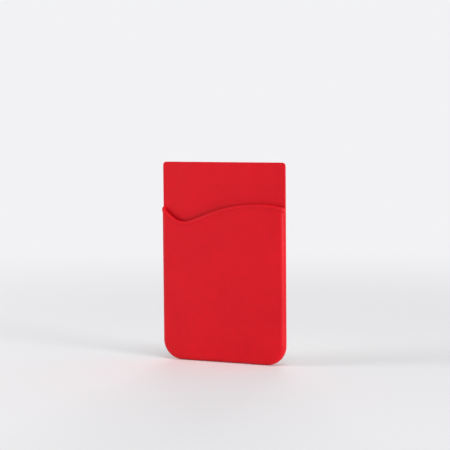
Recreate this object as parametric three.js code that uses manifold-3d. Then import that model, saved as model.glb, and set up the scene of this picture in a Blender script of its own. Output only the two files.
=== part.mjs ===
import * as THREE from 'three';
import { mergeVertices, toCreasedNormals } from 'three/addons/utils/BufferGeometryUtils.js';
import Module from 'manifold-3d';

// Stick-on holder: a one-piece silicone sleeve, open along a wavy mouth, with a double-sided
// adhesive pad on its flat back. Millimetres. +Z is up, the pocket faces -Y, and the origin is the
// centre of the face that sticks to a device.

// Driving dimensions

// Sleeve outline, seen from the front
const sleeveWidth = 57.3;
const sleeveHeight = 86;
const bottomCornerRadius = 8.5;
const topCornerRadius = 1.5;

// Layers, from the adhesive face forwards
const padThickness = 0.4;
const sheetThickness = 1.0;
const pocketGap = 1.2;
const frontWall = 1.0;

// Walls that close the pocket at its sides and bottom
const sideWall = 1.2;
const bottomWall = 1.5;
// how much smaller the pocket's corner radius is than the outer one, so that the pocket is deep there
const pocketCornerStep = 3.0;

// Edge roundings
const frontEdgeRadius = 2.0;
const sheetEdgeRadius = 0.3;

// Wavy mouth: depths below the sheet's top edge, places from the sleeve's sides
const hornDrop = 19.4;
const dipDrop = 25.6;
const crestDrop = 17.55;
const rightEndDrop = 18.85;
const dipFromLeft = 10.7;
const crestFromRight = 10.7;
// how far each level end of a curve pulls it, as a share of that curve's run
const hornPull = 0.27;
const dipLeftPull = 0.515;
const dipRightPull = 0.17;
const crestLeftPull = 0.575;
const crestRightPull = 0.53;
const rightEndPull = 0.145;

// Raised lip along the mouth
const lipWidth = 2.0;
const lipProud = 0.3;
// over this last length of the skin at each end the lip sinks into the side wall
const lipFade = 1.2;
// how deep its root and its two edges are bedded in the wall, and how far it starts below the mouth
const lipRoot = 0.45;
const lipBed = 0.06;
const lipEdgeGap = 0.05;
// how far the root's corners lie in from the lip's edges, as a share of its width
const lipRootInset = 0.2;

// Adhesive pad
const padMargin = 4.5;
const padCornerRadius = 4;

// Facets
const bottomCornerSteps = 14;
const topCornerSteps = 4;
const padCornerSteps = 8;
const frontEdgeSteps = 9;
const sheetEdgeSteps = 3;
const hornSteps = 14;
const waveSteps = 26;
const rightEndSteps = 10;
const lipSteps = 7;
// points closer than this are one corner, and edges sharper than this angle are shaded as edges
const mergeDistance = 1e-5;
const creaseAngle = Math.PI / 6;

// Derived planes and places

const halfWidth = sleeveWidth / 2;
const topZ = sleeveHeight / 2;
const bottomZ = -sleeveHeight / 2;
const sheetBackY = -padThickness;
const sheetFrontY = sheetBackY - sheetThickness;
const pocketFrontY = sheetFrontY - pocketGap;
const frontY = pocketFrontY - frontWall;
const flatHalf = halfWidth - frontEdgeRadius;
const roundLength = frontEdgeRadius * Math.PI / 2;
const sideDepth = sheetFrontY - frontY - frontEdgeRadius;
const pocketCornerRadius = bottomCornerRadius - pocketCornerStep;

const wasm = await Module();
wasm.setup();

// A closed geometry as a solid that can be joined and cut
function solidFrom(geometry) {
  const bare = geometry.clone();
  bare.deleteAttribute('normal');
  bare.deleteAttribute('uv');
  const merged = mergeVertices(bare, mergeDistance);
  return new wasm.Manifold(new wasm.Mesh({
    numProp: 3,
    vertProperties: Float32Array.from(merged.attributes.position.array),
    triVerts: Uint32Array.from(merged.index.array),
  }));
}

// A solid back as a geometry, shaded smooth over its roundings and sharp at its edges
function geometryFrom(solid) {
  const mesh = solid.getMesh();
  const geometry = new THREE.BufferGeometry();
  geometry.setAttribute('position', new THREE.BufferAttribute(Float32Array.from(mesh.vertProperties), 3));
  geometry.setIndex(Array.from(mesh.triVerts));
  return toCreasedNormals(geometry, creaseAngle);
}

// A closed skin over rings of points that all have the same count, with both end rings capped.
// The rings run so that the outline turns anticlockwise as seen from the front (from -Y).
function loft(rings, capTriangles) {
  const count = rings[0].length;
  const points = rings.flat();
  const faces = [];
  for (let ring = 0; ring + 1 < rings.length; ring += 1) {
    for (let k = 0; k < count; k += 1) {
      const next = (k + 1) % count;
      const a = ring * count + k;
      const b = ring * count + next;
      const c = (ring + 1) * count + next;
      const d = (ring + 1) * count + k;
      faces.push(a, b, c, a, c, d);
    }
  }
  const last = (rings.length - 1) * count;
  for (const [i, j, k] of capTriangles) {
    faces.push(i, k, j);
    faces.push(last + i, last + j, last + k);
  }
  const geometry = new THREE.BufferGeometry();
  geometry.setAttribute('position', new THREE.Float32BufferAttribute(points.flatMap((p) => [p.x, p.y, p.z]), 3));
  geometry.setIndex(faces);
  return geometry;
}

// Outline points of a plate with its own radius at the top and bottom corners, each with the
// direction in which the outline moves when it is drawn inwards. Anticlockwise from -Y.
function plateOutline(width, low, high, bottomRadius, bottomSteps, topRadius, topSteps) {
  const corners = [
    { side: -1, level: low, lift: 1, radius: bottomRadius, steps: bottomSteps, start: Math.PI },
    { side: 1, level: low, lift: 1, radius: bottomRadius, steps: bottomSteps, start: 1.5 * Math.PI },
    { side: 1, level: high, lift: -1, radius: topRadius, steps: topSteps, start: 0 },
    { side: -1, level: high, lift: -1, radius: topRadius, steps: topSteps, start: 0.5 * Math.PI },
  ];
  const outline = [];
  for (const corner of corners) {
    const x = corner.side * (width / 2 - corner.radius);
    const z = corner.level + corner.lift * corner.radius;
    if (corner.steps === 0) {
      outline.push({ x, z, inX: -corner.side, inZ: corner.lift });
      continue;
    }
    for (let k = 0; k <= corner.steps; k += 1) {
      const angle = corner.start + (k / corner.steps) * Math.PI / 2;
      const inX = -Math.cos(angle);
      const inZ = -Math.sin(angle);
      outline.push({ x: x - corner.radius * inX, z: z - corner.radius * inZ, inX, inZ });
    }
  }
  return outline;
}

// A plate from an outline: each layer is a depth along Y and how far the outline is drawn inwards
function plate(outline, layers) {
  const rings = layers.map(({ y, inset }) => outline.map(
    (p) => new THREE.Vector3(p.x + p.inX * inset, y, p.z + p.inZ * inset),
  ));
  const flat = outline.map((p) => new THREE.Vector2(p.x, p.z));
  return loft(rings, THREE.ShapeUtils.triangulateShape(flat, []));
}

// Layers of a quarter-round edge that runs from the side at `from` to the face at `to`
function roundedEdge(from, to, radius, steps) {
  const layers = [];
  for (let k = 0; k <= steps; k += 1) {
    const angle = (k / steps) * Math.PI / 2;
    const along = Math.sin(angle);
    layers.push({ y: from + (to - from) * along, inset: radius * (1 - Math.cos(angle)) });
  }
  return layers;
}

// The back sheet: full outline, both edges softly rounded
function backSheet() {
  const outline = plateOutline(
    sleeveWidth, bottomZ, topZ, bottomCornerRadius, bottomCornerSteps, topCornerRadius, topCornerSteps,
  );
  const backEdge = roundedEdge(sheetBackY - sheetEdgeRadius, sheetBackY, sheetEdgeRadius, sheetEdgeSteps);
  const frontEdge = roundedEdge(sheetFrontY + sheetEdgeRadius, sheetFrontY, sheetEdgeRadius, sheetEdgeSteps);
  return solidFrom(plate(outline, [...backEdge.reverse(), ...frontEdge]));
}

// The pocket as a full block on the sheet, with the wide rounding round its front
function pocketBlock() {
  const outline = plateOutline(
    sleeveWidth, bottomZ, topZ, bottomCornerRadius, bottomCornerSteps, 0, 0,
  );
  const rootY = (sheetBackY + sheetFrontY) / 2;
  const frontEdge = roundedEdge(frontY + frontEdgeRadius, frontY, frontEdgeRadius, frontEdgeSteps);
  return solidFrom(plate(outline, [{ y: rootY, inset: 0 }, ...frontEdge]));
}

// The pocket's space, cut right through the block's root so that the sheet closes its back:
// open at the top, rounded at the bottom corners
function pocketSpace() {
  const outline = plateOutline(
    sleeveWidth - 2 * sideWall, bottomZ + bottomWall, topZ + sleeveHeight,
    pocketCornerRadius, bottomCornerSteps, 0, 0,
  );
  return solidFrom(plate(outline, [{ y: sheetBackY, inset: 0 }, { y: pocketFrontY, inset: 0 }]));
}

// A place on the pocket's outer skin. `along` is measured over the skin from the middle of the
// front, round the rounded edge and back along the side, and `out` stands off the skin.
function skinPoint(along, z, out) {
  const side = Math.sign(along);
  const past = Math.abs(along) - flatHalf;
  if (past <= 0) {
    return new THREE.Vector3(along, frontY - out, z);
  }
  if (past <= roundLength) {
    const angle = past / frontEdgeRadius;
    const reach = frontEdgeRadius + out;
    return new THREE.Vector3(
      side * (flatHalf + reach * Math.sin(angle)),
      frontY + frontEdgeRadius - reach * Math.cos(angle),
      z,
    );
  }
  return new THREE.Vector3(side * (halfWidth + out), frontY + frontEdgeRadius + past - roundLength, z);
}

// One stretch of the mouth: a smooth curve that is level at both its ends
function levelCurve(from, to, fromPull, toPull, steps) {
  const run = to.x - from.x;
  return new THREE.CubicBezierCurve(
    from,
    new THREE.Vector2(from.x + fromPull * run, from.y),
    new THREE.Vector2(to.x - toPull * run, to.y),
    to,
  ).getPoints(steps);
}

// The mouth's edge over the unrolled skin, from the left side wall to the right one: a pointed horn,
// a round dip for a fingertip, a long rise to the crest, and a slight fall to the right side
function mouthEdge() {
  const sideStart = flatHalf + roundLength;
  const horn = new THREE.Vector2(-sideStart, topZ - hornDrop);
  const dip = new THREE.Vector2(dipFromLeft - halfWidth, topZ - dipDrop);
  const crest = new THREE.Vector2(halfWidth - crestFromRight, topZ - crestDrop);
  const rightEnd = new THREE.Vector2(sideStart, topZ - rightEndDrop);
  return [
    new THREE.Vector2(horn.x - sideDepth, horn.y),
    ...levelCurve(horn, dip, hornPull, dipLeftPull, hornSteps),
    ...levelCurve(dip, crest, dipRightPull, crestLeftPull, waveSteps).slice(1),
    ...levelCurve(crest, rightEnd, crestRightPull, rightEndPull, rightEndSteps).slice(1),
    new THREE.Vector2(rightEnd.x + sideDepth, rightEnd.y),
  ];
}

// Everything above the mouth's edge, to be cut from the pocket block
function aboveMouth(edge) {
  const beyond = sleeveWidth;
  const shape = new THREE.Shape();
  shape.moveTo(-beyond, edge[0].y);
  for (const point of edge.slice(1, -1)) {
    shape.lineTo(skinPoint(point.x, 0, 0).x, point.y);
  }
  shape.lineTo(beyond, edge[edge.length - 1].y);
  shape.lineTo(beyond, topZ + sleeveHeight);
  shape.lineTo(-beyond, topZ + sleeveHeight);
  shape.closePath();
  const depth = sheetThickness + pocketGap + frontWall + 2 * lipProud;
  const cut = new THREE.ExtrudeGeometry(shape, { depth, steps: 1, bevelEnabled: false });
  cut.rotateX(Math.PI / 2);
  cut.translate(0, sheetBackY, 0);
  return solidFrom(cut);
}

// The lip: a low half-oval rib that follows the mouth's edge round both front corners and runs out
// along the side walls. Its direction across the edge is taken over a few millimetres of the edge,
// so that it turns the horn without folding over itself.
function mouthLip(edge) {
  const reach = 2 * lipWidth;
  const heightAt = (along) => {
    const after = edge.findIndex((point) => point.x > along);
    if (after <= 0) {
      return after === 0 ? edge[0].y : edge[edge.length - 1].y;
    }
    const share = (along - edge[after - 1].x) / (edge[after].x - edge[after - 1].x);
    return THREE.MathUtils.lerp(edge[after - 1].y, edge[after].y, share);
  };
  const rings = edge.map((point) => {
    const rise = (heightAt(point.x + reach) - heightAt(point.x - reach)) / (2 * reach);
    const across = new THREE.Vector2(rise, -1).normalize();
    const toEnd = flatHalf + roundLength + sideDepth - Math.abs(point.x);
    const fade = THREE.MathUtils.clamp(toEnd / lipFade, 0, 1);
    const place = (down, out) => skinPoint(point.x + across.x * down, point.y + across.y * down, out);
    const ring = [];
    for (let k = 0; k <= lipSteps; k += 1) {
      const angle = (k / lipSteps) * Math.PI;
      const down = lipEdgeGap + lipWidth * (1 - Math.cos(angle)) / 2;
      ring.push(place(down, (lipProud * fade + lipBed) * Math.sin(angle) - lipBed));
    }
    ring.push(place(lipEdgeGap + (1 - lipRootInset) * lipWidth, -lipRoot));
    ring.push(place(lipEdgeGap + lipRootInset * lipWidth, -lipRoot));
    return ring;
  });
  const lastPoint = lipSteps + 2;
  const cap = [];
  for (let k = 0; k + 1 < lastPoint; k += 1) {
    cap.push([lastPoint, k, k + 1]);
  }
  return solidFrom(loft(rings, cap));
}

// The sleeve as it is moulded: sheet and pocket in one piece
function siliconeSleeve() {
  const edge = mouthEdge();
  const space = pocketSpace();
  const pocket = pocketBlock().subtract(aboveMouth(edge)).add(mouthLip(edge)).subtract(space);
  return geometryFrom(backSheet().add(pocket));
}

// The double-sided adhesive pad, laid on the middle of the sleeve's flat back
function adhesivePad() {
  const outline = plateOutline(
    sleeveWidth - 2 * padMargin, bottomZ + padMargin, topZ - padMargin,
    padCornerRadius, padCornerSteps, padCornerRadius, padCornerSteps,
  );
  return geometryFrom(solidFrom(plate(outline, [{ y: 0, inset: 0 }, { y: sheetBackY, inset: 0 }])));
}

const silicone = new THREE.MeshStandardMaterial({ color: 0xd5242e, roughness: 0.6, metalness: 0 });
const adhesiveFilm = new THREE.MeshStandardMaterial({ color: 0xf1f0ec, roughness: 0.45, metalness: 0 });

const sleeve = new THREE.Mesh(siliconeSleeve(), silicone);
sleeve.name = 'silicone_sleeve';

const pad = new THREE.Mesh(adhesivePad(), adhesiveFilm);
pad.name = 'adhesive_pad';

const group = new THREE.Group();
group.add(sleeve, pad);

export default group;
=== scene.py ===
# %% [markdown]
# A stick-on holder is one thin moulding of silicone rubber, a flat back sheet with a shallow
# pocket in front of it, and a sticky film on its back. The whole form hangs on one line, the wavy
# edge of the pocket's mouth, and on very small sizes: walls of about a millimetre, and edges
# rounded with two or less. This lesson builds it from those sizes. The frame comes first: the
# solid model of the same object, in metres, with the pocket facing -Y and the adhesive face at
# y = 0. Its boxes give the planes that everything below starts from.

# %% Load the frame
import math

import bmesh
import bpy
from mathutils import Matrix, Vector


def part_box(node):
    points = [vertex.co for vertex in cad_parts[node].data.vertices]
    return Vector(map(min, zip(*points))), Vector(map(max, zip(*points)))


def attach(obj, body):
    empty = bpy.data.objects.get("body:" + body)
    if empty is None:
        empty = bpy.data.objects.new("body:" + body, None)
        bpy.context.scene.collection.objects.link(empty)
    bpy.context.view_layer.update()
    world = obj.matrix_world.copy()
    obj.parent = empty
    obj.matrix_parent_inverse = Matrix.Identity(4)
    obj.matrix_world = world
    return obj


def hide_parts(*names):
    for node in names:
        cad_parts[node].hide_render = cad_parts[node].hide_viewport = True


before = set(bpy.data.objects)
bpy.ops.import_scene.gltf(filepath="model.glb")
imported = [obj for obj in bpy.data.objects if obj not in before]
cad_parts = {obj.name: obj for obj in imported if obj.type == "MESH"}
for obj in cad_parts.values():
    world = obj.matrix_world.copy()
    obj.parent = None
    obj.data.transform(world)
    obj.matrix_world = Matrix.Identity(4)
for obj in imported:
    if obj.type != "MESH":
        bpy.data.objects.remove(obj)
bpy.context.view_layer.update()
sleeve_low, sleeve_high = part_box("silicone_sleeve")
pad_low, pad_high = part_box("adhesive_pad")
MM = 0.001
print("sleeve box in mm:", [round(side / MM, 2) for side in (sleeve_high - sleeve_low)])
print("pad box in mm:", [round(side / MM, 2) for side in (pad_high - pad_low)])

# %% [markdown]
# The camera is placed by three turns and a point. It stands to the right of the sleeve's middle,
# looks a little down, and its long lens keeps the perspective slight, as catalogue pictures are
# taken. A camera could be aimed with a constraint at an empty, but then its turn would hang on
# that empty. A matrix built from the turns says exactly where it looks.

# %% Camera
FRAME_PIXELS = 450
FOCAL_PIXELS = 1497.2
SENSOR_WIDTH = 36.0
NEAREST_SEEN = 0.01
CAMERA_PLACE = Vector((0.26745, -0.5805, 0.06614))
CAMERA_YAW = math.radians(24.724)
CAMERA_DOWN = math.radians(4.485)
CAMERA_ROLL = math.radians(0.468)


def camera_matrix(place, yaw, down, roll):
    """The camera's world matrix: it looks along its own -Z, with +Y up in the picture."""
    level = math.cos(down)
    forward = Vector((-math.sin(yaw) * level, math.cos(yaw) * level, -math.sin(down)))
    level_right = Vector((math.cos(yaw), math.sin(yaw), 0.0))
    level_down = forward.cross(level_right)
    right = math.cos(roll) * level_right + math.sin(roll) * level_down
    up = math.sin(roll) * level_right - math.cos(roll) * level_down
    turn = Matrix((right, up, -forward)).transposed().to_4x4()
    return Matrix.Translation(place) @ turn


camera_data = bpy.data.cameras.new("camera")
camera_data.sensor_width = SENSOR_WIDTH
camera_data.lens = FOCAL_PIXELS / FRAME_PIXELS * SENSOR_WIDTH
camera_data.clip_start = NEAREST_SEEN
camera = bpy.data.objects.new("camera", camera_data)
camera.matrix_world = camera_matrix(CAMERA_PLACE, CAMERA_YAW, CAMERA_DOWN, CAMERA_ROLL)
bpy.context.scene.collection.objects.link(camera)
bpy.context.scene.camera = camera
print("lens in mm:", round(camera_data.lens, 1))

# %% [markdown]
# Node trees are easier to read as sums than as wires. The two small classes here turn Python
# expressions into nodes. A Value wraps one socket, and an operator on it adds a Math node, also
# with a plain number on the left. A Tree adds every other node through one method, which sets the
# node's settings first and then its sockets. The same classes serve materials and geometry.

# %% Expressions that add nodes
class Value:
    """One output socket of a tree, with Python's operators as Math nodes."""

    def __init__(self, tree, socket):
        self.tree = tree
        self.socket = socket

    def maths(self, operation, *others):
        return self.tree.add("ShaderNodeMath", {"operation": operation}, [self, *others])

    def __add__(self, other):
        return self.maths("ADD", other)

    def __radd__(self, other):
        return self.maths("ADD", other)

    def __sub__(self, other):
        return self.maths("SUBTRACT", other)

    def __rsub__(self, other):
        return self.tree.add("ShaderNodeMath", {"operation": "SUBTRACT"}, [other, self])

    def __mul__(self, other):
        return self.maths("MULTIPLY", other)

    def __rmul__(self, other):
        return self.maths("MULTIPLY", other)

    def __truediv__(self, other):
        return self.maths("DIVIDE", other)

    def __neg__(self):
        return self.maths("MULTIPLY", -1.0)

    def least(self, other):
        return self.maths("MINIMUM", other)

    def most(self, other):
        return self.maths("MAXIMUM", other)


class Tree:
    """A node tree that is being written."""

    def __init__(self, nodes_owner):
        self.tree = nodes_owner
        self.nodes = nodes_owner.nodes

    def add(self, kind, settings=None, inputs=None, output=0):
        """Adds a node and gives back one of its outputs as a Value."""
        node = self.nodes.new(kind)
        for name, setting in (settings or {}).items():
            if name == "stops":
                self.set_stops(node.color_ramp, setting)
            else:
                setattr(node, name, setting)
        pairs = inputs.items() if isinstance(inputs, dict) else enumerate(inputs or [])
        for key, content in pairs:
            if isinstance(content, Value):
                self.tree.links.new(content.socket, node.inputs[key])
            else:
                node.inputs[key].default_value = content
        if not node.outputs:
            return node
        return Value(self, node.outputs[output])

    def other(self, value, output):
        """Another output of the node that a Value comes from."""
        return Value(self, value.socket.node.outputs[output])

    @staticmethod
    def set_stops(ramp, stops):
        while len(ramp.elements) < len(stops):
            ramp.elements.new(1.0)
        for element, (place, colour) in zip(ramp.elements, stops):
            element.position = place
            element.color = colour


print("named steps of a Value:", [name for name in vars(Value) if not name.startswith("_")])

# %% [markdown]
# The finish of moulded silicone is a deep, even colour under a dry, satin skin. Close up it has a
# very fine grain from the mould, and over some centimetres it is never quite flat, so that
# highlights waver. One flat colour would look like paint. Here two soft noises vary the colour a
# little, the finer of the two varies the roughness as well, and two bumps of very different size
# give the grain and the waver. All of them read Object coordinates, in metres.

# %% Material of the sleeve
SILICONE_ROUGHNESS = 0.42
ROUGHNESS_SPREAD = 0.14
SILICONE_IOR = 1.43
SILICONE_SHINE = 0.2
CLOUD_PER_METRE = 55.0
MOTTLE_PER_METRE = 420.0
CLOUD_SHARE = 0.62
MOTTLE_SHARE = 0.38
TONE_GAIN = 1.4
TONE_SHIFT = -0.2
GRAIN_PER_METRE = 5200.0
GRAIN_DEPTH = 0.012 * MM
WAVER_PER_METRE = 48.0
WAVER_DEPTH = 0.35 * MM


def linear(red, green, blue):
    """A colour as a screen shows it, 0 to 255, in the linear values that Blender works in."""
    def channel(value):
        share = value / 255
        return share / 12.92 if share <= 0.04045 else ((share + 0.055) / 1.055) ** 2.4
    return (channel(red), channel(green), channel(blue), 1.0)


SILICONE_RED = linear(219, 15, 31)
SILICONE_DEEP = linear(196, 11, 25)


def new_material(name):
    """A material without nodes, and the tree that its nodes go into."""
    material = bpy.data.materials.new(name)
    material.use_nodes = True
    material.node_tree.nodes.clear()
    return material, Tree(material.node_tree)


def finish_material(tree, surface):
    """Links a surface to the output of its material."""
    tree.add("ShaderNodeOutputMaterial", None, {"Surface": surface})


def noise(tree, place, per_metre, detail):
    """A soft noise between 0 and 1, with so many waves to the metre."""
    return tree.add("ShaderNodeTexNoise", None, {"Vector": place, "Scale": per_metre, "Detail": detail})


def silicone_material():
    """Dry moulded silicone rubber, red all through."""
    material, tree = new_material("red_silicone")
    place = tree.add("ShaderNodeTexCoord", output="Object")
    cloud = noise(tree, place, CLOUD_PER_METRE, detail=3.0)
    mottle = noise(tree, place, MOTTLE_PER_METRE, detail=4.0)
    grain = noise(tree, place, GRAIN_PER_METRE, detail=2.0)
    waver = noise(tree, place, WAVER_PER_METRE, detail=1.0)
    mixed = CLOUD_SHARE * cloud + MOTTLE_SHARE * mottle
    tone = mixed.maths("MULTIPLY_ADD", TONE_GAIN, TONE_SHIFT)
    stops = [(0.0, SILICONE_DEEP), (1.0, SILICONE_RED)]
    colour = tree.add("ShaderNodeValToRGB", {"stops": stops}, {"Fac": tone})
    roughness = SILICONE_ROUGHNESS + ROUGHNESS_SPREAD * (mottle - 0.5)
    soft = tree.add("ShaderNodeBump", None, {
        "Strength": 1.0, "Distance": WAVER_DEPTH, "Height": waver,
    })
    fine = tree.add("ShaderNodeBump", None, {
        "Strength": 1.0, "Distance": GRAIN_DEPTH, "Height": grain, "Normal": soft,
    })
    surface = tree.add("ShaderNodeBsdfPrincipled", None, {
        "Base Color": colour,
        "Roughness": roughness,
        "Normal": fine,
        "IOR": SILICONE_IOR,
        "Specular IOR Level": SILICONE_SHINE,
    })
    finish_material(tree, surface)
    return material


red_silicone = silicone_material()
print("silicone nodes:", len(red_silicone.node_tree.nodes))

# %% [markdown]
# The sleeve's sizes come next. On a real holder they follow from what it has to hold, and
# calipers would give them. They could be typed in as finished places, but then a thicker wall
# would mean changing most of them. So the outer planes are taken from the frame's box, and each
# layer is laid on the one before: back sheet, pocket gap, front wall.

# %% Sizes of the sleeve
HALF_WIDTH = 28.65 * MM
TOP = sleeve_high.z
BOTTOM = sleeve_low.z
SHEET_THICKNESS = 1.0 * MM
POCKET_GAP = 1.2 * MM
FRONT_WALL = 1.0 * MM
SIDE_WALL = 1.2 * MM
BOTTOM_WALL = 1.5 * MM
SHEET_BACK = sleeve_high.y
SHEET_FRONT = SHEET_BACK - SHEET_THICKNESS
POCKET_FRONT = SHEET_FRONT - POCKET_GAP
FRONT = POCKET_FRONT - FRONT_WALL
BOTTOM_RADIUS = 8.5 * MM
POCKET_RADIUS = 5.5 * MM
TOP_RADIUS = 1.5 * MM
FRONT_RADIUS = 2.0 * MM
SHEET_RADIUS = 0.3 * MM
FLAT_HALF = HALF_WIDTH - FRONT_RADIUS
ROUND_LENGTH = FRONT_RADIUS * math.pi / 2
SIDE_DEPTH = SHEET_FRONT - FRONT - FRONT_RADIUS
SIDE_START = FLAT_HALF + ROUND_LENGTH
print("pocket depth from sheet to front in mm:", round((SHEET_FRONT - FRONT) / MM, 2))

# %% [markdown]
# The mouth's edge is the line that gives the holder its character: a pointed horn at the left, a
# dip for a fingertip, a long rise to a crest, and a slight fall to the right. It could be traced
# point by point, but then it would wobble. Here it is a chain of three smooth curves, each level
# at both of its ends, so four named places and six pulls say all of it. It is drawn on the
# unrolled skin, where the rounded edges and the side walls are laid out flat, and heights count
# down from the sheet's top edge.

# %% Edge of the mouth
HORN_DROP = 19.4 * MM
DIP_DROP = 25.6 * MM
CREST_DROP = 17.55 * MM
RIGHT_END_DROP = 18.85 * MM
TURN_FROM_SIDE = 10.7 * MM
MOUTH_PULLS = ((0.27, 0.515), (0.17, 0.575), (0.53, 0.145))
MOUTH_STEPS = 110

HORN = Vector((-SIDE_START, TOP - HORN_DROP))
DIP = Vector((TURN_FROM_SIDE - HALF_WIDTH, TOP - DIP_DROP))
CREST = Vector((HALF_WIDTH - TURN_FROM_SIDE, TOP - CREST_DROP))
RIGHT_END = Vector((SIDE_START, TOP - RIGHT_END_DROP))


def level_curve(start, end, start_pull, end_pull, steps):
    """A cubic curve from start to end that leaves and arrives level."""
    run = end.x - start.x
    leaving = start + Vector((start_pull * run, 0.0))
    arriving = end - Vector((end_pull * run, 0.0))
    points = []
    for step in range(steps + 1):
        t = step / steps
        point = (1 - t) ** 3 * start + 3 * t * (1 - t) ** 2 * leaving
        point += 3 * t * t * (1 - t) * arriving
        point += t ** 3 * end
        points.append(point)
    return points


def mouth_edge():
    """The mouth's edge over the unrolled skin, from one side wall's root to the other's."""
    corners = (HORN, DIP, CREST, RIGHT_END)
    root = Vector((SIDE_DEPTH + SHEET_RADIUS, 0.0))
    edge = [HORN - root]
    for start, end, (start_pull, end_pull) in zip(corners, corners[1:], MOUTH_PULLS):
        edge += level_curve(start, end, start_pull, end_pull, MOUTH_STEPS)[:-1]
    edge += [RIGHT_END, RIGHT_END + root]
    return edge


MOUTH = mouth_edge()


def mouth_height(along):
    """The height of the mouth's edge at a place along the unrolled skin."""
    if along <= MOUTH[0].x:
        return MOUTH[0].y
    for left, right in zip(MOUTH, MOUTH[1:]):
        if along <= right.x:
            return left.y + (right.y - left.y) * (along - left.x) / (right.x - left.x)
    return MOUTH[-1].y


print("mouth from", round(DIP.y / MM, 2), "to", round(CREST.y / MM, 2), "mm")

# %% [markdown]
# The body of the sleeve is one closed skin. It could be cut from blocks with booleans, but those
# leave slivers where a rounding meets a face, and slivers catch the light. Here the skin is laid
# in patches whose points follow from the sizes. The outline comes first, as stations: points on
# the sleeve's silhouette, each with the direction that leads inwards from it. Below the mouth they
# are fixed at the bottom and spread evenly up each side, because the mouth's height differs with
# the place round the front edge. The body stops a little under the mouth, where the lip covers it.

# %% Stations of the outline
CORNER_STEPS = 18
TOP_CORNER_STEPS = 8
SIDE_ROWS = 104
BOTTOM_COLUMNS = 84
UPPER_ROWS = 16
TOP_COLUMNS = 24
RIM_DROP = 1.0 * MM


def corner_stations(side, centre_z, radius, start, steps):
    """Stations on a corner arc: a place across, a place up, and the direction inwards."""
    centre_x = side * (HALF_WIDTH - radius)
    stations = []
    for step in range(steps + 1):
        angle = start + step / steps * math.pi / 2
        out = Vector((math.cos(angle), math.sin(angle)))
        stations.append((centre_x + radius * out.x, centre_z + radius * out.y, -out.x, -out.y))
    return stations


def lower_stations():
    """The fixed stations of the outline's bottom: both corner arcs and the line between."""
    low = BOTTOM + BOTTOM_RADIUS
    left = corner_stations(-1, low, BOTTOM_RADIUS, math.pi, CORNER_STEPS)
    right = corner_stations(1, low, BOTTOM_RADIUS, 1.5 * math.pi, CORNER_STEPS)
    reach = HALF_WIDTH - BOTTOM_RADIUS
    line = [
        (-reach + 2 * reach * column / BOTTOM_COLUMNS, BOTTOM, 0.0, 1.0)
        for column in range(1, BOTTOM_COLUMNS)
    ]
    return left + line + right


def upper_stations():
    """The stations above the mouth, from its right end over the top to its left end."""
    low_right = mouth_height(SIDE_START) - RIM_DROP
    low_left = mouth_height(-SIDE_START) - RIM_DROP
    high = TOP - TOP_RADIUS
    reach = HALF_WIDTH - TOP_RADIUS
    right_side = [
        (HALF_WIDTH, low_right + row / UPPER_ROWS * (high - low_right), -1.0, 0.0)
        for row in range(UPPER_ROWS)
    ]
    left_side = [
        (-HALF_WIDTH, high - row / UPPER_ROWS * (high - low_left), 1.0, 0.0)
        for row in range(1, UPPER_ROWS + 1)
    ]
    line = [
        (reach - 2 * reach * column / TOP_COLUMNS, TOP, 0.0, -1.0)
        for column in range(1, TOP_COLUMNS)
    ]
    right_arc = corner_stations(1, high, TOP_RADIUS, 0.0, TOP_CORNER_STEPS)
    left_arc = corner_stations(-1, high, TOP_RADIUS, math.pi / 2, TOP_CORNER_STEPS)
    return right_side + right_arc + line + left_arc + left_side


LOWER = lower_stations()
UPPER = upper_stations()
print("stations:", len(LOWER), "below and", len(UPPER), "above")

# %% [markdown]
# Rings and columns are made from the stations. A ring runs round the pocket's sides and bottom at
# one depth, and a stack of rings gives the side walls and the front rounding, as on a turned
# part. Inside the last ring the front panel is laid in columns from the bottom to the mouth. A
# moulded panel this thin is never dead flat, so it swells by a hair between its four edges.

# %% Rings of the pocket and columns of its front
ROUND_STEPS = 9
FRONT_SWELL = 0.08 * MM


def drawn_in(stations, inset, y):
    """The points of fixed stations, moved inwards."""
    return [Vector((x + in_x * inset, y, z + in_z * inset)) for x, z, in_x, in_z in stations]


def side_stations(side, inset, y, along):
    """Points up one side from the bottom corner to just under the mouth's edge."""
    low = BOTTOM + BOTTOM_RADIUS
    high = mouth_height(side * along) - RIM_DROP
    x = side * (HALF_WIDTH - inset)
    return [Vector((x, y, low + row / SIDE_ROWS * (high - low))) for row in range(SIDE_ROWS + 1)]


def pocket_ring(inset, y, along):
    """A ring round the pocket's sides and bottom, from the mouth's left end to its right end."""
    left = side_stations(-1, inset, y, along)
    right = side_stations(1, inset, y, along)
    return left[::-1] + drawn_in(LOWER, inset, y)[1:-1] + right


def quarter(steps):
    """Angles of a quarter turn."""
    return [step / steps * math.pi / 2 for step in range(steps + 1)]


def pocket_profile():
    """Rings of the pocket from the sheet's edge, over the side, round to the flat front."""
    root = SHEET_FRONT + SHEET_RADIUS
    side = FRONT + FRONT_RADIUS
    rings = [pocket_ring(0.0, root, SIDE_START), pocket_ring(0.0, (root + side) / 2, SIDE_START)]
    for angle in quarter(ROUND_STEPS):
        inset = FRONT_RADIUS * (1 - math.cos(angle))
        y = side - FRONT_RADIUS * math.sin(angle)
        rings.append(pocket_ring(inset, y, FLAT_HALF + FRONT_RADIUS * (math.pi / 2 - angle)))
    return rings


def front_columns():
    """Columns of the front panel, with a slight swell between its four edges."""
    columns = []
    for foot in drawn_in(LOWER, FRONT_RADIUS, FRONT):
        high = mouth_height(foot.x) - RIM_DROP
        across = math.cos(math.pi / 2 * min(1.0, abs(foot.x) / FLAT_HALF))
        column = []
        for row in range(SIDE_ROWS + 1):
            share = row / SIDE_ROWS
            swell = FRONT_SWELL * across * math.sin(math.pi * share)
            column.append(Vector((foot.x, FRONT - swell, foot.z + share * (high - foot.z))))
        columns.append(column)
    return columns


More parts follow.
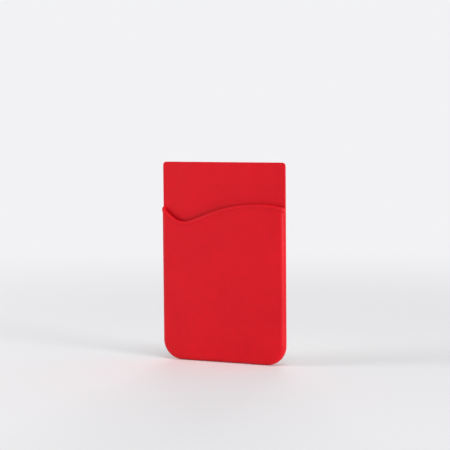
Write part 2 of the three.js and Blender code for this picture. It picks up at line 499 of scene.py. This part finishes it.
RINGS = pocket_profile()
COLUMNS = front_columns()
print("rings:", len(RINGS), "of", len(RINGS[0]), "points, columns:", len(COLUMNS))

# %% [markdown]
# The pocket's inside and the sheet's edges are outlines too. The inside has its own, smaller
# corner radius, so that the walls keep their thickness. The sheet's small rounding goes from its
# side to its face in a few steps, and one more ring lies close inside it: this support ring keeps
# the large flat face shaded flat, where otherwise its smooth shading would bend towards the edge.

# %% Edge of the sheet and inside of the pocket
EDGE_STEPS = 4
SUPPORT = 0.2 * MM
INNER_HALF = HALF_WIDTH - SIDE_WALL


def sheet_edge(y_start, y_end):
    """Insets and depths of the sheet's small edge rounding, from its side to its face."""
    return [
        (SHEET_RADIUS * (1 - math.cos(angle)), y_start + (y_end - y_start) * math.sin(angle))
        for angle in quarter(EDGE_STEPS)
    ] + [(SHEET_RADIUS + SUPPORT, y_end)]


def cavity_outline(y):
    """The pocket's inner outline at a depth, from the top of its left wall to that of its right."""
    centre_z = BOTTOM + BOTTOM_WALL + POCKET_RADIUS
    points = [Vector((-INNER_HALF, y, mouth_height(-INNER_HALF) - RIM_DROP))]
    for side, start in ((-1, math.pi), (1, 1.5 * math.pi)):
        centre_x = side * (INNER_HALF - POCKET_RADIUS)
        for step in range(CORNER_STEPS + 1):
            angle = start + step / CORNER_STEPS * math.pi / 2
            x = centre_x + POCKET_RADIUS * math.cos(angle)
            points.append(Vector((x, y, centre_z + POCKET_RADIUS * math.sin(angle))))
    points.append(Vector((INNER_HALF, y, mouth_height(INNER_HALF) - RIM_DROP)))
    return points


def inner_mouth(xs):
    """The mouth's edge on the inner side of the front wall, from left to right."""
    inside = [-INNER_HALF] + [x for x in xs if abs(x) < INNER_HALF - SUPPORT] + [INNER_HALF]
    return [Vector((x, POCKET_FRONT, mouth_height(x) - RIM_DROP)) for x in inside]


print("pocket's inner width in mm:", round(2 * INNER_HALF / MM, 2))

# %% [markdown]
# Now the patches are laid between those edges. Where two edges have the same number of points, a
# strip of four-sided faces joins them. The rim under the lip joins two edges with different
# points, so its faces are zipped: at each step the shorter of the two diagonals is taken. Each
# helper gives faces as lists of points, and patches that meet work out the same points, so
# merging doubles welds them later.

# %% Patches of the skin
def strip(lower_edge, upper_edge, closed=False):
    """Four-sided faces between two edges with the same number of points."""
    count = len(lower_edge)
    last = count if closed else count - 1
    return [
        [lower_edge[k], lower_edge[(k + 1) % count], upper_edge[(k + 1) % count], upper_edge[k]]
        for k in range(last)
    ]


def zipped(first, second):
    """Three-sided faces between two edges that start and end close together."""
    faces = []
    i = 0
    j = 0
    while i + 1 < len(first) or j + 1 < len(second):
        step_first = i + 1 < len(first) and (
            j + 1 >= len(second)
            or (first[i + 1] - second[j]).length <= (first[i] - second[j + 1]).length
        )
        if step_first:
            faces.append([first[i], first[i + 1], second[j]])
            i += 1
        else:
            faces.append([first[i], second[j + 1], second[j]])
            j += 1
    return faces


def pocket_faces():
    """The pocket's sides, its rounding and its front panel."""
    faces = []
    for outer, inner in zip(RINGS, RINGS[1:]):
        faces += strip(outer, inner)
    for left, right in zip(COLUMNS, COLUMNS[1:]):
        faces += strip(left, right)
    return faces


def back_faces():
    """The back face and the rounding that leads to it, all round."""
    rings = [
        pocket_ring(inset, y, SIDE_START)[:-1] + drawn_in(UPPER, inset, y)[:-1]
        for inset, y in sheet_edge(SHEET_BACK - SHEET_RADIUS, SHEET_BACK)
    ]
    side_y = SHEET_FRONT + SHEET_RADIUS
    side_ring = pocket_ring(0.0, side_y, SIDE_START)[:-1] + drawn_in(UPPER, 0.0, side_y)[:-1]
    faces = strip(side_ring, rings[0], closed=True)
    for outer, inner in zip(rings, rings[1:]):
        faces += strip(outer, inner, closed=True)
    return faces + [rings[-1]]


def inside_faces():
    """The sheet's front above the mouth, the pocket's inside, and the rim that the lip covers."""
    sheet_rings = [
        drawn_in(UPPER, inset, y)
        for inset, y in sheet_edge(SHEET_FRONT + SHEET_RADIUS, SHEET_FRONT)
    ]
    faces = []
    for outer, inner in zip(sheet_rings, sheet_rings[1:]):
        faces += strip(outer, inner)
    sheet_cavity = cavity_outline(SHEET_FRONT)
    wall_cavity = cavity_outline(POCKET_FRONT)
    inner_edge = inner_mouth([column[-1].x for column in COLUMNS])
    faces.append(sheet_rings[-1] + sheet_cavity)
    faces += strip(sheet_cavity, wall_cavity)
    faces.append(wall_cavity[1:-1] + inner_edge[::-1])
    outer_edge = [ring[0] for ring in RINGS[:-1]] + [column[-1] for column in COLUMNS]
    outer_edge += [ring[-1] for ring in RINGS[:-1]][::-1]
    rim_inside = [ring[-1] for ring in sheet_rings] + [sheet_cavity[0]] + inner_edge
    rim_inside += [sheet_cavity[-1]] + [ring[0] for ring in sheet_rings][::-1]
    return faces + zipped(outer_edge, rim_inside)


sleeve_faces = pocket_faces() + back_faces() + inside_faces()
print("faces laid:", len(sleeve_faces))

# %% [markdown]
# All patches go into one mesh. Its doubles are merged first, so that the patches become one skin,
# and only then are the normals worked out, because they follow the skin from face to face. A
# closed body has two faces at every edge, and the count of open edges proves it. Shading is smooth
# everywhere but at the true corners, such as the pocket's inner edges.

# %% Body of the sleeve
WELD = 0.002 * MM
SHARP_ANGLE = math.radians(32)


def open_edge_count(build):
    """How many edges of a mesh don't lie between exactly two faces."""
    return sum(1 for edge in build.edges if len(edge.link_faces) != 2)


def mesh_object(name, faces, material):
    """One mesh object from faces given as lists of points: welded, facing outwards, smooth."""
    build = bmesh.new()
    for points in faces:
        build.faces.new([build.verts.new(point) for point in points])
    bmesh.ops.remove_doubles(build, verts=build.verts, dist=WELD)
    bmesh.ops.dissolve_degenerate(build, edges=build.edges, dist=WELD / 2)
    bmesh.ops.recalc_face_normals(build, faces=build.faces)
    open_edges = open_edge_count(build)
    volume = build.calc_volume()
    mesh = bpy.data.meshes.new(name)
    build.to_mesh(mesh)
    build.free()
    for polygon in mesh.polygons:
        polygon.use_smooth = True
    mesh.set_sharp_from_angle(angle=SHARP_ANGLE)
    mesh.materials.append(material)
    piece = bpy.data.objects.new(name, mesh)
    bpy.context.scene.collection.objects.link(piece)
    print(name, "faces", len(mesh.polygons), "open edges", open_edges, "mm3", round(volume / MM ** 3))
    return piece


sleeve_body = mesh_object("sleeve_body", sleeve_faces, red_silicone)

# %% [markdown]
# The lip is a bead that stiffens the mouth and gives a fingertip something to catch. It follows
# the wavy edge, turns round both front corners and runs out along the side walls, so it lies on a
# curved skin. A curve with a bevel would tilt on that skin. So the path is drawn flat, as the
# edge lies on the unrolled skin, and each of its points keeps the direction that leads across
# the edge. That direction is taken over some millimetres, or a tight bend could fold the bead.

# %% Path of the bead
LIP_WIDTH = 2.0 * MM
LIP_SPACING = 0.3 * MM
TURN_REACH = 2 * LIP_WIDTH


def lip_path():
    """Places along the mouth's edge at an even spacing, each with the direction across it."""
    length = MOUTH[-1].x - MOUTH[0].x
    count = round(length / LIP_SPACING)
    path = []
    for step in range(count + 1):
        along = MOUTH[0].x + length * step / count
        rise = mouth_height(along + TURN_REACH) - mouth_height(along - TURN_REACH)
        across = Vector((rise / (2 * TURN_REACH), -1.0)).normalized()
        path.append((along, mouth_height(along), across))
    return path


def path_object():
    """The flat path as a mesh of edges, with its directions as an attribute."""
    path = lip_path()
    mesh = bpy.data.meshes.new("lip_path")
    points = [(along, 0.0, height) for along, height, _ in path]
    edges = [(k, k + 1) for k in range(len(path) - 1)]
    mesh.from_pydata(points, edges, [])
    attribute = mesh.attributes.new("across", "FLOAT_VECTOR", "POINT")
    for k, (_, _, across) in enumerate(path):
        attribute.data[k].vector = (across.x, 0.0, across.y)
    source = bpy.data.objects.new("lip_path", mesh)
    bpy.context.scene.collection.objects.link(source)
    print("bead path:", len(path), "points")
    return source


lip_source = path_object()

# %% [markdown]
# Geometry Nodes turn the path into the bead, because its shape follows a rule. Curve to Mesh
# gives a plain tube with faces and caps. The rule then needs three things for each point of the
# tube: its place along the edge, the direction across, and its angle round the bead. They are
# captured before the tube is made, because the tube's own points know nothing of them. Sizes
# come in by named inputs, so the same tree would serve any other mouth.

# %% Tube along the path
LIP_SIDES = 26
BEAD_SIZES = {
    "Width": LIP_WIDTH,
    "Proud": 0.275 * MM,
    "Fade": 1.2 * MM,
    "Front wall": FRONT_WALL,
    "Side wall": SIDE_WALL,
    "Front": FRONT,
    "Flat half": FLAT_HALF,
    "Corner radius": FRONT_RADIUS,
    "Side depth": SIDE_DEPTH,
    "Least": 0.012 * MM,
    "Inside": 0.03 * MM,
    "Fullness": 0.9,
    "Corner stretch": 1.6,
}


def group_inputs(group, names):
    """A geometry socket at each end of a group, and a named number for each size between."""
    group.interface.new_socket("Geometry", in_out="INPUT", socket_type="NodeSocketGeometry")
    for name in names:
        group.interface.new_socket(name, in_out="INPUT", socket_type="NodeSocketFloat")
    group.interface.new_socket("Geometry", in_out="OUTPUT", socket_type="NodeSocketGeometry")


def captured(tree, geometry, kind, value):
    """Keeps a field on the points of a geometry: gives the geometry and the kept field."""
    node = tree.nodes.new("GeometryNodeCaptureAttribute")
    node.domain = "POINT"
    node.capture_items.new(kind, "kept")
    tree.tree.links.new(geometry.socket, node.inputs["Geometry"])
    tree.tree.links.new(value.socket, node.inputs["kept"])
    return Value(tree, node.outputs["Geometry"]), Value(tree, node.outputs["kept"])


def bead_tube(tree, source, width):
    """The tube, with each point's flat place, direction across and angle round the bead."""
    path = tree.add("GeometryNodeMeshToCurve", None, {"Mesh": source})
    flat_place = tree.add("GeometryNodeInputPosition")
    across = tree.add(
        "GeometryNodeInputNamedAttribute", {"data_type": "FLOAT_VECTOR"}, {"Name": "across"},
    )
    path, kept_place = captured(tree, path, "VECTOR", flat_place)
    path, kept_across = captured(tree, path, "VECTOR", across)
    section = tree.add("GeometryNodeCurvePrimitiveCircle", {"mode": "RADIUS"}, {
        "Resolution": LIP_SIDES, "Radius": width,
    })
    share = tree.add("GeometryNodeSplineParameter", output="Factor")
    section, kept_angle = captured(tree, section, "FLOAT", share * (2 * math.pi))
    tube = tree.add("GeometryNodeCurveToMesh", None, {
        "Curve": path, "Profile Curve": section, "Fill Caps": True,
    })
    return tube, kept_place, kept_across, kept_angle


print("sides of the tube:", LIP_SIDES, "and sizes of the bead:", len(BEAD_SIZES))

# %% [markdown]
# Set Position rolls every point of the tube onto the skin. The angle round the bead says how far
# down from the edge a point lies and how far it stands off: proud outside, and inside through the
# wall's thickness, so the bead also closes the rim. The place along the edge says where on the
# skin it is, on the flat front, round the rounded corner or on the straight side. The bead fades
# over the last stretch of each side wall, and its foot is stretched round the corners, where the
# skin under it turns away. Modifiers could bend a straight bead in turn, but a rule keeps the
# wall's thickness exact.

# %% Rule that lays the bead on the skin
def place_on_skin(tree, size, kept_place, kept_across, kept_angle):
    """The final place of each point of the tube, as a vector."""
    flat = size["Flat half"]
    radius = size["Corner radius"]
    round_length = radius * (math.pi / 2)
    cosine = kept_angle.maths("COSINE")
    sine = kept_angle.maths("SINE")
    along = tree.add("ShaderNodeSeparateXYZ", None, {"Vector": kept_place})
    height = tree.other(along, "Z")
    across_along = tree.add("ShaderNodeSeparateXYZ", None, {"Vector": kept_across})
    across_down = tree.other(across_along, "Z")

    # how far down from the edge, and where that is on the unrolled skin
    turned = (along.maths("ABSOLUTE") - flat).most(0.0).least(round_length) / round_length
    flank = (-cosine).most(0.0) * turned * size["Corner stretch"]
    down = size["Width"] / 2.0 * (1.0 - cosine + flank)
    rolled = along + across_along * down
    distance = rolled.maths("ABSOLUTE")
    past_flat = (distance - flat).most(0.0)
    angle = past_flat.least(round_length) / radius

    # how far off the skin
    to_end = flat + round_length + size["Side depth"] - along.maths("ABSOLUTE")
    fade = (to_end / size["Fade"]).most(0.0).least(1.0)
    crown = (size["Proud"] * fade).most(size["Least"])
    thicker = size["Side wall"] - size["Front wall"]
    wall = size["Front wall"] + thicker * angle / (math.pi / 2)
    outside = sine.most(0.0).maths("POWER", size["Fullness"]) * (crown + wall / 2.0)
    inward = sine.least(0.0) * (wall / 2.0 + size["Inside"])
    reach = radius + outside + inward - wall / 2.0

    # flat front, rounded corner, straight side
    x = rolled.maths("SIGN") * (distance.least(flat) + reach * angle.maths("SINE"))
    past_corner = (past_flat - round_length).most(0.0)
    y = size["Front"] + radius - reach * angle.maths("COSINE") + past_corner
    z = height + across_down * down
    return tree.add("ShaderNodeCombineXYZ", None, {"X": x, "Y": y, "Z": z})


def finish_group(tree, geometry, material):
    """Ends a geometry tree: real geometry with its material, into the group's output."""
    whole = tree.add("GeometryNodeRealizeInstances", None, {"Geometry": geometry})
    dressed = tree.add("GeometryNodeSetMaterial", None, {"Geometry": whole, "Material": material})
    tree.add("NodeGroupOutput", None, {"Geometry": dressed})


def bead_group(material):
    """The bead's tree: a flat path in, a rounded bead on the pocket's skin out."""
    group = bpy.data.node_groups.new("mouth_bead", "GeometryNodeTree")
    group_inputs(group, BEAD_SIZES)
    tree = Tree(group)
    source = tree.add("NodeGroupInput", output="Geometry")
    size = {name: tree.other(source, name) for name in BEAD_SIZES}
    tube, *kept = bead_tube(tree, source, size["Width"])
    place = place_on_skin(tree, size, *kept)
    bead = tree.add("GeometryNodeSetPosition", None, {"Geometry": tube, "Position": place})
    smooth = tree.add("GeometryNodeSetShadeSmooth", None, {"Geometry": bead, "Shade Smooth": True})
    finish_group(tree, smooth, material)
    return group


lip_group = bead_group(red_silicone)
print("bead nodes:", len(lip_group.nodes))

# %% [markdown]
# A tree gives its result only while its modifier is live. To keep the piece, the modifier is
# added, its inputs are set by the identifiers of their sockets, and the evaluated object is copied
# into a plain mesh. Applying the modifier in the viewport would do the same by hand. The copy is
# welded and turned to face outwards, as every closed piece is.

# %% Bead as a plain piece
LIP_SHARP_ANGLE = math.radians(60)


def evaluated_piece(name, source, group, sizes):
    """Runs a geometry group on a source object and gives its result as a plain mesh object."""
    modifier = source.modifiers.new("geometry", "NODES")
    modifier.node_group = group
    for item in group.interface.items_tree:
        if item.in_out == "INPUT" and item.name in sizes:
            modifier[item.identifier] = sizes[item.name]
    bpy.context.view_layer.update()
    depsgraph = bpy.context.evaluated_depsgraph_get()
    mesh = bpy.data.meshes.new_from_object(source.evaluated_get(depsgraph), depsgraph=depsgraph)
    source.modifiers.remove(modifier)
    mesh.name = name
    bpy.data.objects.remove(source)
    piece = bpy.data.objects.new(name, mesh)
    bpy.context.scene.collection.objects.link(piece)
    return piece


def face_outwards(piece):
    """Welds a closed piece and turns all its faces outwards."""
    build = bmesh.new()
    build.from_mesh(piece.data)
    bmesh.ops.remove_doubles(build, verts=build.verts, dist=WELD)
    bmesh.ops.recalc_face_normals(build, faces=build.faces)
    volume = round(build.calc_volume() / MM ** 3, 1)
    print(piece.name, "faces", len(build.faces), "open edges", open_edge_count(build), "mm3", volume)
    build.to_mesh(piece.data)
    build.free()


mouth_lip = evaluated_piece("mouth_lip", lip_source, lip_group, BEAD_SIZES)
face_outwards(mouth_lip)
mouth_lip.data.set_sharp_from_angle(angle=LIP_SHARP_ANGLE)

# %% [markdown]
# The adhesive is a milky, double-sided film: a tissue of short fibres, soaked on both sides with a
# tacky glue that traps small bubbles. Plain white would look like paper, and an image would blur
# close up. So noises make it, which stay sharp at any scale. A fibrous one and a slow one tint it
# between a pale and a warmer tone, the fibres also vary its roughness, and fibres and bubbles
# together give a very shallow bump.

# %% Material of the adhesive film
FILM_PALE = linear(236, 234, 228)
FILM_WARM = linear(224, 220, 210)
FILM_STOPS = [(0.3, FILM_WARM), (0.7, FILM_PALE)]
FILM_ROUGHNESS = 0.34
FILM_ROUGHNESS_SPREAD = 0.25
FILM_IOR = 1.47
FIBRE_PER_METRE = 900.0
BUBBLE_PER_METRE = 700.0
CLOUD_TINT = 0.5
FIBRE_TINT = 0.5
FIBRE_SHARE = 0.6
BUBBLE_SHARE = 0.4
FILM_DEPTH = 0.02 * MM


def film_material():
    """Milky double-sided film: a slightly uneven, tacky face over a tissue of short fibres."""
    material, tree = new_material("adhesive_film")
    place = tree.add("ShaderNodeTexCoord", output="Object")
    fibre = tree.add("ShaderNodeTexNoise", None, {
        "Vector": place, "Scale": FIBRE_PER_METRE, "Detail": 5.0, "Roughness": 0.6,
    })
    cloud = noise(tree, place, CLOUD_PER_METRE, detail=3.0)
    bubble = tree.add("ShaderNodeTexVoronoi", {"feature": "F1"}, {
        "Vector": place, "Scale": BUBBLE_PER_METRE,
    })
    tone = CLOUD_TINT * cloud + FIBRE_TINT * fibre
    colour = tree.add("ShaderNodeValToRGB", {"stops": FILM_STOPS}, {"Fac": tone})
    roughness = FILM_ROUGHNESS + FILM_ROUGHNESS_SPREAD * (fibre - 0.5)
    height = FIBRE_SHARE * fibre + BUBBLE_SHARE * bubble
    bump = tree.add("ShaderNodeBump", None, {
        "Strength": 1.0, "Distance": FILM_DEPTH, "Height": height,
    })
    surface = tree.add("ShaderNodeBsdfPrincipled", None, {
        "Base Color": colour, "Roughness": roughness, "Normal": bump, "IOR": FILM_IOR,
    })
    finish_material(tree, surface)
    return material


adhesive_film = film_material()
print("film nodes:", len(adhesive_film.node_tree.nodes))

# %% [markdown]
# The pad is a piece of that film, cut with rounded corners so that no corner peels. It could be a
# box with bevelled edges, but its roundings belong to its outline and not to its edges. So the
# tree draws a rectangle, fillets its corners, fills it, turns it upright and gives it the film's
# thickness. The flat face that the extrusion started from is flipped and joined as the back.

# %% Adhesive pad
PAD_CORNER_STEPS = 12
PAD_SIZES = {
    "Width": pad_high.x - pad_low.x,
    "Height": pad_high.z - pad_low.z,
    "Thickness": pad_high.y - pad_low.y,
    "Corner radius": 4.0 * MM,
}


def pad_group(material):
    """The pad's tree: a filleted rectangle, filled and given a thickness."""
    group = bpy.data.node_groups.new("adhesive_pad", "GeometryNodeTree")
    group_inputs(group, PAD_SIZES)
    tree = Tree(group)
    source = tree.add("NodeGroupInput", output="Geometry")
    size = {name: tree.other(source, name) for name in PAD_SIZES}
    outline = tree.add("GeometryNodeCurvePrimitiveQuadrilateral", {"mode": "RECTANGLE"}, {
        "Width": size["Width"], "Height": size["Height"],
    })
    rounded = tree.add("GeometryNodeFilletCurve", {"mode": "POLY"}, {
        "Curve": outline, "Count": PAD_CORNER_STEPS, "Radius": size["Corner radius"],
    })
    filled = tree.add("GeometryNodeFillCurve", {"mode": "NGONS"}, {"Curve": rounded})
    upright = tree.add("GeometryNodeTransform", None, {
        "Geometry": filled, "Rotation": (math.pi / 2, 0.0, 0.0),
    })
    depth = tree.add("ShaderNodeCombineXYZ", None, {"Y": -size["Thickness"]})
    drawn = tree.add("GeometryNodeExtrudeMesh", {"mode": "FACES"}, {
        "Mesh": upright, "Offset": depth, "Offset Scale": 1.0, "Individual": False,
    })
    back = tree.add("GeometryNodeFlipFaces", None, {"Mesh": upright})
    joined = tree.nodes.new("GeometryNodeJoinGeometry")
    for part in (drawn, back):
        group.links.new(part.socket, joined.inputs["Geometry"])
    finish_group(tree, Value(tree, joined.outputs[0]), material)
    return group


pad_source = bpy.data.objects.new("pad_source", bpy.data.meshes.new("pad_source"))
bpy.context.scene.collection.objects.link(pad_source)
film_piece = evaluated_piece("adhesive_film_pad", pad_source, pad_group(adhesive_film), PAD_SIZES)
face_outwards(film_piece)

# %% [markdown]
# Every piece is tied to the frame. It rides on the one body of the object, and the plain solids
# that the finer pieces stand for are hidden, so that they aren't drawn as well: a finer piece
# would flicker through the plain solid in the same place.

# %% Tie the pieces to the frame
PIECE_SLOTS = (
    (sleeve_body, "red_silicone"),
    (mouth_lip, "red_silicone"),
    (film_piece, "adhesive_film"),
)
for piece, slot in PIECE_SLOTS:
    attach(piece, "root")
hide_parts("silicone_sleeve")
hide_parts("silicone_sleeve")
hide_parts("adhesive_pad")
print("pieces tied:", [piece.name for piece, _ in PIECE_SLOTS])

# %% [markdown]
# The floor is a stage. It lies just under the sleeve's bottom edge, takes its shadow and its red
# glow, and turns into backdrop further off, so that no horizon cuts behind the object. A curved
# sweep of paper does this in a studio. Here the floor stays flat, and its matt surface is mixed
# with a glow of the backdrop's colour, which only the camera, mirrors and clear bodies see, so
# that it adds no light to the object.

# %% Floor and backdrop
FLOOR_DROP = 0.05 * MM
FLOOR_HALF = 2.5
FLOOR_COLOUR = linear(246, 246, 248)
BACKDROP_COLOUR = linear(242, 242, 244)
FADE_START = 0.08
FADE_END = 0.6


def straight_seen(tree):
    """1 where a ray comes from the camera, a mirror reflection or a clear body."""
    seen = tree.add("ShaderNodeLightPath", output="Is Camera Ray")
    glossy = tree.other(seen, "Is Glossy Ray")
    through = tree.other(seen, "Is Transmission Ray")
    return (seen + glossy + through).least(1.0)


def floor_material():
    """A pale floor that takes shadows near the object and turns into backdrop further off."""
    material, tree = new_material("pale_floor")
    place = tree.add("ShaderNodeTexCoord", output="Object")
    distance = tree.add("ShaderNodeVectorMath", {"operation": "LENGTH"}, [place], output="Value")
    far = tree.add("ShaderNodeMapRange", {"interpolation_type": "SMOOTHERSTEP"}, {
        "Value": distance, "From Min": FADE_START, "From Max": FADE_END,
    })
    matte = tree.add("ShaderNodeBsdfDiffuse", None, {"Color": FLOOR_COLOUR})
    glow = tree.add("ShaderNodeEmission", None, {"Color": BACKDROP_COLOUR, "Strength": 1.0})
    surface = tree.add("ShaderNodeMixShader", None, [far * straight_seen(tree), matte, glow])
    finish_material(tree, surface)
    return material


def stage_floor():
    """A wide square floor under the sleeve."""
    mesh = bpy.data.meshes.new("floor")
    z = BOTTOM - FLOOR_DROP
    turns = ((-1, -1), (1, -1), (1, 1), (-1, 1))
    corners = [(across * FLOOR_HALF, away * FLOOR_HALF, z) for across, away in turns]
    mesh.from_pydata(corners, [], [(0, 1, 2, 3)])
    mesh.materials.append(floor_material())
    floor = bpy.data.objects.new("floor", mesh)
    bpy.context.scene.collection.objects.link(floor)
    print("floor at z in mm:", round(z / MM, 2))


stage_floor()

# %% [markdown]
# The light is that of a small product studio: a white room all round, which gives most of it, and
# four soft lamps. One high up to the right brings out the lip, a low one from the right lights the
# side wall and its rounding, one from the left keeps the left edge clear, and one from behind
# serves the back. A picture of a real room would light it too, but lamps can be set one by one.
# Their strengths are set so that a matt surface that faces the camera shows about its own colour.

# %% World and lamps
WORLD_STRENGTH = 0.37
LAMPS = {
    "high_lamp": ((0.3, -0.35, 1.05), 0.5, 3.2),
    "side_lamp": ((1.0, -0.3, 0.1), 0.3, 7.6),
    "left_lamp": ((-0.6, -0.35, 0.2), 0.3, 2.1),
    "back_lamp": ((-0.4, 1.1, 0.3), 0.6, 5.5),
}


def studio_world():
    """A soft white room, which the camera sees as the pale backdrop."""
    world = bpy.data.worlds.new("studio")
    world.use_nodes = True
    world.node_tree.nodes.clear()
    tree = Tree(world.node_tree)
    white = (1.0, 1.0, 1.0, 1.0)
    room = tree.add("ShaderNodeBackground", None, {"Color": white, "Strength": WORLD_STRENGTH})
    backdrop = tree.add("ShaderNodeBackground", None, {"Color": BACKDROP_COLOUR, "Strength": 1.0})
    mixed = tree.add("ShaderNodeMixShader", None, [straight_seen(tree), room, backdrop])
    tree.add("ShaderNodeOutputWorld", None, {"Surface": mixed})
    bpy.context.scene.world = world


def soft_lamp(name, place, size, watts):
    """A square area lamp that faces the middle of the sleeve."""
    data = bpy.data.lights.new(name, "AREA")
    data.size = size
    data.energy = watts
    lamp = bpy.data.objects.new(name, data)
    aim = Vector(place).to_track_quat("Z", "Y").to_matrix().to_4x4()
    lamp.matrix_world = Matrix.Translation(place) @ aim
    bpy.context.scene.collection.objects.link(lamp)


studio_world()
for lamp_name, (lamp_place, lamp_size, lamp_watts) in LAMPS.items():
    soft_lamp(lamp_name, lamp_place, lamp_size, lamp_watts)
bpy.context.scene.view_settings.view_transform = "Standard"
print("lamps:", ", ".join(LAMPS))

# %% [markdown]
